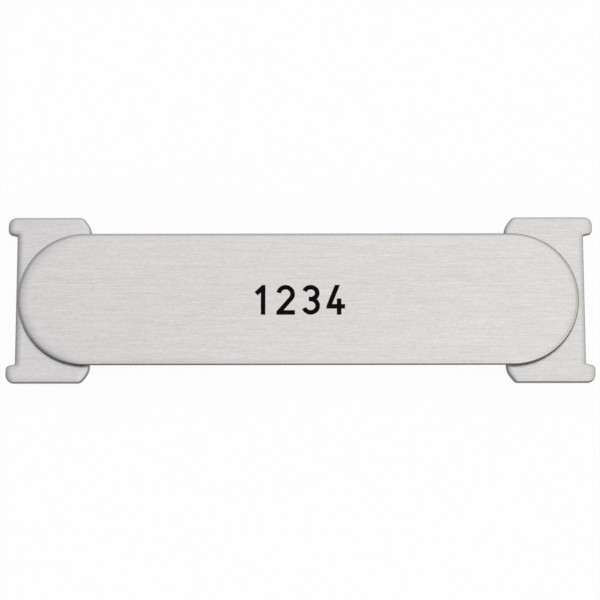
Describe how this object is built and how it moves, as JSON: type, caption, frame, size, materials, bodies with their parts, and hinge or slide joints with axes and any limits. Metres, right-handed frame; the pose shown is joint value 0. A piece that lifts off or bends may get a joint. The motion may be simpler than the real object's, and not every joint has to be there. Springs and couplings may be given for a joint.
{
  "type": "name plate",
  "caption": "Engraved round-ended metal name plate that hooks over flat end brackets by headed studs and lifts off.",
  "frame": {"origin": "middle of the back, on the surface that the foam pads are stuck to", "axes": "+X along the plate to its right end, +Y to its top edge, +Z out of its face"},
  "size_m": [0.08, 0.023, 0.0034],
  "materials": {
    "brushed_plate": "stainless steel, fine straight grain along the plate, pale and satin",
    "brushed_bracket": "stainless steel, fine straight grain along the plate, pale and satin",
    "black_enamel": "black engraving enamel, semi-gloss, filled just below the face",
    "turned_stud": "turned stainless steel, fine rings",
    "nylon": "natural nylon, smooth and slightly waxy",
    "foam": "closed-cell foam tape, dark grey, matt, tacky back"
  },
  "bodies": {
    "brackets": {"left_bracket": "brushed_bracket", "right_bracket": "brushed_bracket", "left_foam_pad": "foam", "right_foam_pad": "foam"},
    "face": {"face_plate": "brushed_plate", "left_stud": "turned_stud", "right_stud": "turned_stud", "left_washer": "nylon", "right_washer": "nylon", "enamel_digit_1": "black_enamel", "enamel_digit_2": "black_enamel", "enamel_digit_3": "black_enamel", "enamel_digit_4": "black_enamel"}
  },
  "joints": [
    {"name": "face_lift", "type": "slide", "parent": "brackets", "child": "face", "axis": [0, 1, 0], "range_m": [0, 0.004]}
  ]
}
